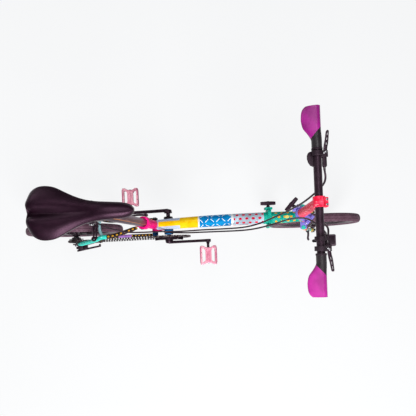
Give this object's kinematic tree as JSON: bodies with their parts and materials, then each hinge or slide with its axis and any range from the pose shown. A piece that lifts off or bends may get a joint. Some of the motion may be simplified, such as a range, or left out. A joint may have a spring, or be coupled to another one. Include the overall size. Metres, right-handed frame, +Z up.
{
  "type": "folding bike",
  "caption": "Folding bicycle with small wheels, hinged main tube, folding handlepost, swinging rear frame, telescopic seat post, rim brakes and derailleur.",
  "frame": {"origin": "on the ground, midway between the two wheel axles, in the bicycle's middle plane", "axes": "+X forward, +Y to the rider's left, +Z up"},
  "size_m": [1.4758, 0.509, 0.9888],
  "materials": {
    "black_metal": "satin black anodised",
    "black_plastic": "matt",
    "frame_blue": "gloss paint",
    "frame_dark": "gloss paint",
    "frame_green": "gloss paint",
    "frame_pink": "gloss paint",
    "frame_turquoise": "gloss paint",
    "frame_white": "gloss paint",
    "grip_purple": "matt",
    "pedal_pink": "satin paint",
    "rubber": "matt",
    "saddle_black": "smooth",
    "steel": "brushed",
    "stem_lavender": "gloss paint",
    "stem_red": "gloss paint"
  },
  "bodies": {
    "main_frame": {"bottom_bracket": "frame_blue", "cable_gear": "rubber", "hinge_pin": "steel", "main_tube": "frame_white", "rear_pivot_pin": "steel", "seat_clamp": "frame_pink", "seat_tube": "frame_pink"},
    "hinge_clamp": {"hinge_clamp_plate": "frame_green"},
    "hinge_lever": {"hinge_lever": "black_metal"},
    "seat_lever": {"seat_lever": "black_metal"},
    "seat_post": {"saddle": "saddle_black", "saddle_clamp": "black_metal", "saddle_rails": "steel", "seat_post": "black_metal"},
    "cranks": {"chainring": "black_metal", "crank_left": "black_metal", "crank_right": "black_metal"},
    "pedal_right": {"pedal_right": "pedal_pink"},
    "pedal_left": {"pedal_left": "pedal_pink"},
    "rear_frame": {"cable_rear_brake": "rubber", "chain": "steel", "chain_stay_left": "frame_dark", "chain_stay_right": "frame_dark", "rear_axle": "steel", "rear_bridge": "frame_turquoise", "suspension_block": "rubber", "upper_stay_left": "frame_turquoise", "upper_stay_right": "frame_turquoise"},
    "rear_wheel": {"rear_hub": "black_metal", "rear_rim": "black_metal", "rear_tyre": "rubber"},
    "sprockets": {"sprockets": "steel"},
    "derailleur": {"derailleur_body": "black_metal"},
    "cage": {"derailleur_cage": "black_metal"},
    "jockey_upper": {"jockey_upper": "black_plastic"},
    "jockey_lower": {"jockey_lower": "black_plastic"},
    "rear_caliper_left": {"rear_caliper_left": "black_metal"},
    "rear_caliper_right": {"rear_caliper_right": "black_metal"},
    "front_frame": {"front_frame": "frame_green"},
    "fork": {"cable_front_brake": "rubber", "fork": "frame_dark", "front_axle": "steel", "stem_base": "stem_lavender"},
    "front_wheel": {"front_hub": "black_metal", "front_rim": "black_metal", "front_tyre": "rubber"},
    "front_caliper_left": {"front_caliper_left": "black_metal"},
    "front_caliper_right": {"front_caliper_right": "black_metal"},
    "stem_clamp": {"stem_clamp_plate": "stem_lavender"},
    "stem_lever": {"stem_lever": "black_metal"},
    "handlepost": {"brake_perch_left": "black_plastic", "brake_perch_right": "black_plastic", "grip_left": "grip_purple", "grip_right": "grip_purple", "handlebar": "black_metal", "handlepost": "stem_red", "shifter": "black_plastic"},
    "brake_lever_left": {"brake_lever_left": "black_metal"},
    "brake_lever_right": {"brake_lever_right": "black_metal"},
    "shift_lever": {"shift_lever": "black_plastic"}
  },
  "joints": [
    {"name": "frame_fold", "type": "hinge", "parent": "main_frame", "child": "front_frame", "pos_m": [0.275, -0.031, 0.489], "axis": [0, 0, 1], "range_deg": [-135, 0], "deforming": ["cable_gear"]},
    {"name": "rear_fold", "type": "hinge", "parent": "main_frame", "child": "rear_frame", "pos_m": [-0.18, 0, 0.232], "axis": [0, -1, 0], "range_deg": [0, 148], "deforming": ["cable_rear_brake", "chain"]},
    {"name": "steering", "type": "hinge", "parent": "front_frame", "child": "fork", "pos_m": [0.37, 0, 0.618], "axis": [-0.2924, 0, 0.9563], "range_deg": [-90, 90]},
    {"name": "stem_fold", "type": "hinge", "parent": "fork", "child": "handlepost", "pos_m": [0.38698, -0.0235, 0.64651], "axis": [0.6609, 0.7227, 0.2021], "range_deg": [0, 145], "deforming": ["cable_front_brake"]},
    {"name": "seat_post_slide", "type": "slide", "parent": "main_frame", "child": "seat_post", "axis": [-0.2164, 0, 0.9763], "range_m": [-0.32, 0]},
    {"name": "seat_lever_turn", "type": "hinge", "parent": "main_frame", "child": "seat_lever", "pos_m": [-0.19179, 0.0298, 0.482], "axis": [-0.2164, 0, 0.9763], "range_deg": [-110, 0]},
    {"name": "hinge_lever_turn", "type": "hinge", "parent": "hinge_clamp", "child": "hinge_lever", "pos_m": [0.275, 0.031, 0.489], "axis": [0, 1, 0], "range_deg": [0, 720]},
    {"name": "hinge_clamp_slide", "type": "slide", "parent": "main_frame", "child": "hinge_clamp", "axis": [0, 1, 0], "range_m": [0, 0.007]},
    {"name": "stem_lever_turn", "type": "hinge", "parent": "stem_clamp", "child": "stem_lever", "pos_m": [0.34806, 0.01659, 0.63043], "axis": [-0.6911, 0.6911, -0.2113], "range_deg": [0, 720]},
    {"name": "stem_clamp_slide", "type": "slide", "parent": "fork", "child": "stem_clamp", "axis": [-0.6911, 0.6911, -0.2113], "range_m": [0, 0.007]},
    {"name": "brake_lever_left_pull", "type": "hinge", "parent": "handlepost", "child": "brake_lever_left", "pos_m": [0.34, 0.1325, 0.966], "axis": [0, 0, 1], "range_deg": [0, 9], "stiffness_Nm_per_rad": 0.8, "springref_deg": -22.92},
    {"name": "brake_lever_right_pull", "type": "hinge", "parent": "handlepost", "child": "brake_lever_right", "pos_m": [0.34, -0.1288, 0.966], "axis": [0, 0, -1], "range_deg": [0, 9], "stiffness_Nm_per_rad": 0.8, "springref_deg": -22.92},
    {"name": "shift_lever_turn", "type": "hinge", "parent": "handlepost", "child": "shift_lever", "pos_m": [0.34, -0.104, 0.9407], "axis": [0, 0, 1], "range_deg": [0, 40]},
    {"name": "derailleur_shift", "type": "slide", "parent": "rear_frame", "child": "derailleur", "axis": [0, 1, 0], "range_m": [0, 0.009]},
    {"name": "cage_swing", "type": "hinge", "parent": "derailleur", "child": "cage", "pos_m": [-0.505, 0, 0.14936], "axis": [0, -1, 0], "range_deg": [-12, 20], "stiffness_Nm_per_rad": 2},
    {"name": "crank_spin", "type": "hinge", "parent": "main_frame", "child": "cranks", "pos_m": [-0.118, 0, 0.289], "axis": [0, -1, 0], "continuous": true},
    {"name": "sprocket_spin", "type": "hinge", "parent": "rear_frame", "child": "sprockets", "pos_m": [-0.5325, 0, 0.20536], "axis": [0, -1, 0], "continuous": true},
    {"name": "jockey_upper_spin", "type": "hinge", "parent": "cage", "child": "jockey_upper", "pos_m": [-0.505, 0, 0.14936], "axis": [0, 1, 0], "continuous": true},
    {"name": "jockey_lower_spin", "type": "hinge", "parent": "cage", "child": "jockey_lower", "pos_m": [-0.443, 0, 0.13337], "axis": [0, -1, 0], "continuous": true},
    {"name": "pedal_right_spin", "type": "hinge", "parent": "cranks", "child": "pedal_right", "pos_m": [0.04541, -0.0596, 0.33586], "axis": [0, 1, 0], "continuous": true},
    {"name": "pedal_left_spin", "type": "hinge", "parent": "cranks", "child": "pedal_left", "pos_m": [-0.28142, 0.053, 0.24214], "axis": [0, 1, 0], "continuous": true},
    {"name": "front_wheel_spin", "type": "hinge", "parent": "fork", "child": "front_wheel", "pos_m": [0.5325, 0, 0.20536], "axis": [0, 1, 0], "continuous": true},
    {"name": "rear_wheel_spin", "type": "hinge", "parent": "rear_frame", "child": "rear_wheel", "pos_m": [-0.5325, 0, 0.20536], "axis": [0, 1, 0], "continuous": true},
    {"name": "front_caliper_left_turn", "type": "hinge", "parent": "fork", "child": "front_caliper_left", "pos_m": [0.43053, 0, 0.46961], "axis": [-0.9563, 0, -0.2924], "range_deg": [0, 0.9]},
    {"name": "front_caliper_right_turn", "type": "hinge", "parent": "fork", "child": "front_caliper_right", "pos_m": [0.43053, 0, 0.46961], "axis": [0.9563, 0, 0.2924], "range_deg": [0, 0.9]},
    {"name": "rear_caliper_left_turn", "type": "hinge", "parent": "rear_frame", "child": "rear_caliper_left", "pos_m": [-0.39396, 0, 0.40405], "axis": [-0.796, 0, 0.6053], "range_deg": [0, 1.3]},
    {"name": "rear_caliper_right_turn", "type": "hinge", "parent": "rear_frame", "child": "rear_caliper_right", "pos_m": [-0.39396, 0, 0.40405], "axis": [0.796, 0, -0.6053], "range_deg": [0, 1.3]}
  ],
  "couplings": [
    {"joint": "hinge_lever_turn", "follows": "hinge_clamp_slide", "rad_per_m": 1795.2},
    {"joint": "stem_lever_turn", "follows": "stem_clamp_slide", "rad_per_m": 1795.2},
    {"joint": "shift_lever_turn", "follows": "derailleur_shift", "rad_per_m": 77.57},
    {"joint": "sprocket_spin", "follows": "crank_spin", "ratio": 2.75},
    {"joint": "jockey_upper_spin", "follows": "crank_spin", "ratio": 4.4},
    {"joint": "jockey_lower_spin", "follows": "crank_spin", "ratio": 4.4},
    {"joint": "front_caliper_left_turn", "follows": "brake_lever_right_pull", "ratio": 0.1},
    {"joint": "front_caliper_right_turn", "follows": "brake_lever_right_pull", "ratio": 0.1},
    {"joint": "rear_caliper_left_turn", "follows": "brake_lever_left_pull", "ratio": 0.14444},
    {"joint": "rear_caliper_right_turn", "follows": "brake_lever_left_pull", "ratio": 0.14444}
  ]
}
